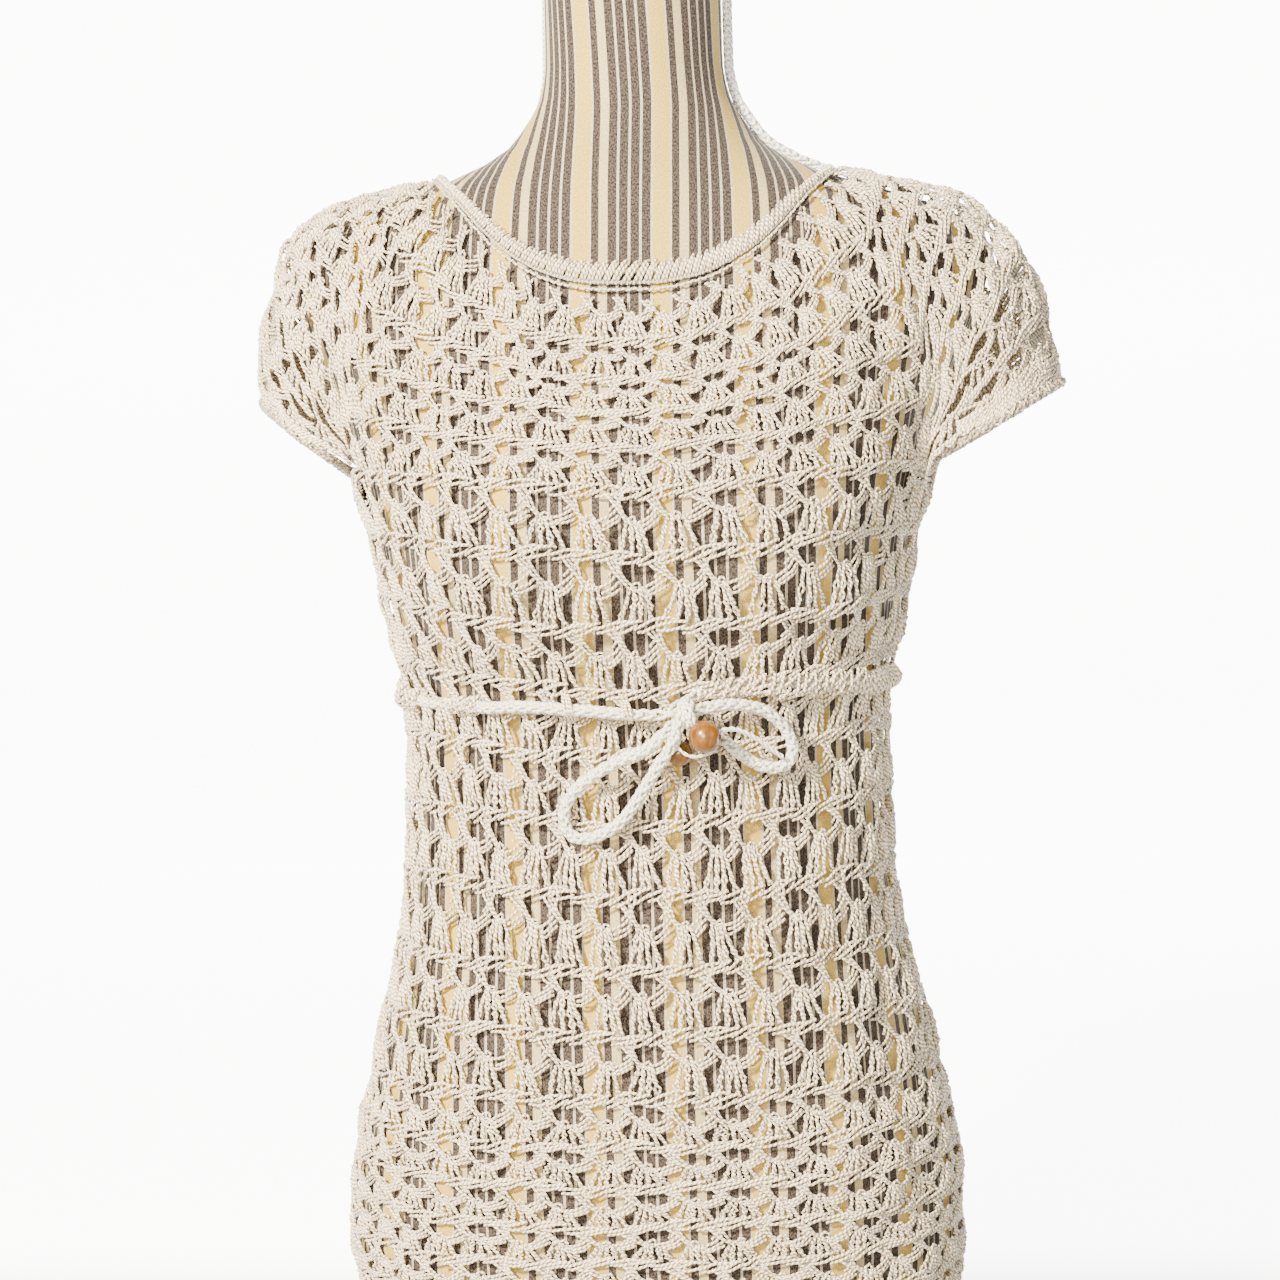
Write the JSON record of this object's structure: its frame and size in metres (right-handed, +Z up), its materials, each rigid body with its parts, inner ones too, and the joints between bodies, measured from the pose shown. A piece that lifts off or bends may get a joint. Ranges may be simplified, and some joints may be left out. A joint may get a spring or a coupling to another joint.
{
  "type": "crochet top on a limbless table-top dress form",
  "caption": "Openwork crochet top with cap sleeves and a beaded waist drawstring, fitted over a smooth limbless dress form that stands on a flat board.",
  "frame": {"origin": "middle of the underside of the form's board, below the middle of the neck", "axes": "+Z up, -Y out of the front of the top, +X to the viewer's right when facing the front"},
  "size_m": [0.4194, 0.2517, 0.7763],
  "materials": {
    "crochet": "plied ecru cotton yarn, open crochet",
    "tie": "crocheted cotton cord",
    "bead": "polished wooden bead",
    "ticking": "woven striped ticking",
    "trim": "gimp braid",
    "board": "plain board"
  },
  "bodies": {
    "root": {"form_torso": "ticking", "form_neck_cap": "ticking", "form_base": "board", "form_trim_right": "trim", "form_trim_left": "trim", "neck_band": "crochet", "yoke_front": "crochet", "yoke_back": "crochet", "sleeve_right": "crochet", "sleeve_left": "crochet", "cuff_right": "crochet", "cuff_left": "crochet", "body_front": "crochet", "body_back": "crochet", "tie_waist": "tie", "tie_knot": "tie", "tie_loop_left": "tie", "tie_loop_right": "tie", "tie_tail": "tie", "bead_front": "bead", "bead_back": "bead"}
  },
  "joints": []
}
